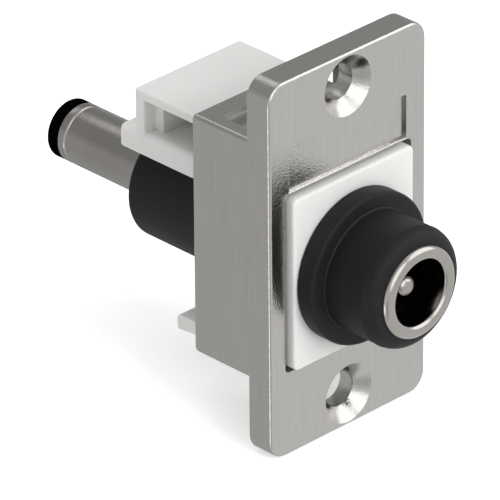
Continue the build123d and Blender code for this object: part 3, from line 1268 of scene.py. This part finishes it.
@dataclass
class Studio:
    """Camera at the photograph's angle, lamps, pale floor and the room that metal shows."""

    azimuth: float = -44.426
    elevation: float = 28.611
    roll: float = -0.521
    distance: float = 0.6247
    target: Triple = (-0.009104, 0.0, 0.001674)
    lens: float = 531.84
    sensor: float = 36.0
    clip: Span = (0.01, 20.0)
    floor_z: float = -0.018
    floor_size: float = 6.0
    floor_shade: float = 0.93
    floor_lift: float = 0.42
    ambient: float = 0.55
    metal_level: float = 1.08
    lamps: tuple[Lamp, ...] = (
        Lamp("key_lamp", (0.02, -0.72, 0.38), 0.5, 4.3),
        Lamp("top_lamp", (-0.06, 0.2, 0.72), 0.6, 2.2),
    )
    panels: tuple[Panel, ...] = (
        Panel((0.0, 0.627, -0.78), 15, 45, 0.58),
        Panel((0.614, 0.627, 0.479), 25, 55, 0.47),
        Panel((-0.479, 0.627, 0.614), 28, 55, 0.5),
        Panel((-0.614, 0.627, -0.479), 25, 50, 0.7),
        Panel((0.22, 0.65, 0.73), 4, 18, 1.25),
        Panel((0.614, -0.479, 0.627), 26, 34, 2.6),
        Panel((-0.375, -0.773, 0.511), 24, 31, 2.6),
        Panel((-0.62, -0.6, -0.5), 12, 26, 0.75),
        Panel((-0.865, 0.016, -0.5), 9, 14, 2.6),
        Panel((0.62, 0.58, -0.53), 8, 20, 0.35),
    )

    def camera(self) -> bpy.types.Object:
        """Place the camera.

        Returns:
            The camera object.
        """
        azimuth, elevation, roll = (
            math.radians(angle) for angle in (self.azimuth, self.elevation, self.roll)
        )
        reach = math.cos(elevation)
        back = Vector((math.sin(azimuth) * reach, -math.cos(azimuth) * reach, math.sin(elevation)))
        level = Vector((math.cos(azimuth), math.sin(azimuth), 0))
        upright = back.cross(level)
        right = level * math.cos(roll) + upright * math.sin(roll)
        up = upright * math.cos(roll) - level * math.sin(roll)
        drop_selection()
        bpy.ops.object.camera_add()
        camera = bpy.context.active_object
        camera.name = "photo_camera"
        turned = Matrix((right, up, back)).transposed().to_4x4()
        place = Vector(self.target) + back * self.distance
        camera.matrix_world = Matrix.Translation(place) @ turned
        camera.data.sensor_width = self.sensor
        camera.data.lens = self.lens
        camera.data.clip_start, camera.data.clip_end = self.clip
        bpy.context.scene.camera = camera
        return camera

    def hang(self, lamp: Lamp) -> bpy.types.Object:
        """Add a lamp.

        Args:
            lamp: Its settings.

        Returns:
            The lamp object.
        """
        drop_selection()
        bpy.ops.object.light_add(type="AREA", location=lamp.at)
        made = bpy.context.active_object
        made.name = lamp.name
        made.data.shape = "SQUARE"
        made.data.size = lamp.size
        made.data.energy = lamp.power
        made.rotation_euler = Vector(lamp.at).to_track_quat("Z", "Y").to_euler()
        made.visible_glossy = False
        return made

    def floor(self) -> bpy.types.Object:
        """Add the pale floor, white to the camera, with the object's shadow on it."""
        drop_selection()
        bpy.ops.mesh.primitive_plane_add(size=self.floor_size, location=(0, 0, self.floor_z))
        floor = bpy.context.active_object
        floor.name = "pale_floor"
        floor.visible_glossy = False
        made = bpy.data.materials.new("pale_floor")
        made.use_nodes = True
        sheet = Sheet(made.node_tree)
        rays = sheet.tree.nodes.new("ShaderNodeLightPath").outputs
        seen = sheet.math("ADD", rays["Is Camera Ray"], rays["Is Glossy Ray"])
        seen = sheet.math("ADD", seen, rays["Is Transmission Ray"])
        strength = sheet.math("MULTIPLY", seen, self.floor_lift)
        shade = self.floor_shade
        paper = sheet.node("ShaderNodeBsdfDiffuse", Color=(shade, shade, shade, 1))
        lift = sheet.node("ShaderNodeEmission", Color=(1, 1, 1, 1), Strength=strength)
        total = sheet.tree.nodes.new("ShaderNodeAddShader")
        sheet.feed(total.inputs[0], paper.outputs["BSDF"])
        sheet.feed(total.inputs[1], lift.outputs["Emission"])
        sheet.node("ShaderNodeOutputMaterial", Surface=total.outputs["Shader"])
        floor.data.materials.append(made)
        return floor

    def room(self) -> None:
        """Set the world: white to the camera, the panels to metal, an even fill to the rest."""
        world = bpy.data.worlds.new("room")
        bpy.context.scene.world = world
        world.use_nodes = True
        sheet = Sheet(world.node_tree)
        rays = sheet.tree.nodes.new("ShaderNodeLightPath").outputs
        direction = sheet.tree.nodes.new("ShaderNodeTexCoord").outputs["Generated"]
        level: object = self.metal_level
        for panel in self.panels:
            aim = sheet.tree.nodes.new("ShaderNodeVectorMath")
            aim.operation = "DOT_PRODUCT"
            sheet.feed(aim.inputs[0], direction)
            aim.inputs[1].default_value = Vector(panel.towards).normalized()
            share = sheet.node("ShaderNodeMapRange", Value=aim.outputs["Value"])
            share.interpolation_type = "SMOOTHSTEP"
            share.inputs["From Min"].default_value = math.cos(math.radians(panel.outer))
            share.inputs["From Max"].default_value = math.cos(math.radians(panel.inner))
            mix = sheet.node("ShaderNodeMix", Factor=share.outputs["Result"])
            sheet.feed(mix.inputs["A"], level)
            mix.inputs["B"].default_value = panel.level
            level = mix.outputs["Result"]
        metal = sheet.node("ShaderNodeMix", Factor=rays["Is Glossy Ray"])
        metal.inputs["A"].default_value = self.ambient
        sheet.feed(metal.inputs["B"], level)
        clear = sheet.math("ADD", rays["Is Camera Ray"], rays["Is Transmission Ray"])
        seen = sheet.node("ShaderNodeMix", Factor=clear)
        sheet.feed(seen.inputs["A"], metal.outputs["Result"])
        seen.inputs["B"].default_value = 1.0
        sky = sheet.node("ShaderNodeBackground", Strength=seen.outputs["Result"])
        sheet.node("ShaderNodeOutputWorld", Surface=sky.outputs["Background"])

    def build(self) -> None:
        """Set up the camera, the lamps, the floor and the world."""
        self.camera()
        for lamp in self.lamps:
            self.hang(lamp)
        self.floor()
        self.room()
        bpy.context.scene.view_settings.view_transform = "Standard"


REPAINTED: dict[str, Finish] = {
    "jack_insulator": LINER,
    "jack_sleeve_spring": SHADED_BRONZE,
    "plug_centre_contact": SHADED_BRONZE,
    "plug_sleeve_terminal": TURNED,
    "centre_link": COPPER,
    "sleeve_link": COPPER,
    "inner_mould": RESIN,
}


def main() -> None:
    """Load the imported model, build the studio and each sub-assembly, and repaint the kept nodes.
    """
    logging.basicConfig(level=logging.INFO, format="%(name)s %(message)s")
    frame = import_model()
    Studio().build()
    MountingFrame().build()
    KeystoneInsert().build()
    Coupler().build()
    Plug().build()
    for name, finish in REPAINTED.items():
        repaint(frame["nodes"], name, finish)
    drop_selection()


if __name__ == "__main__":
    main()
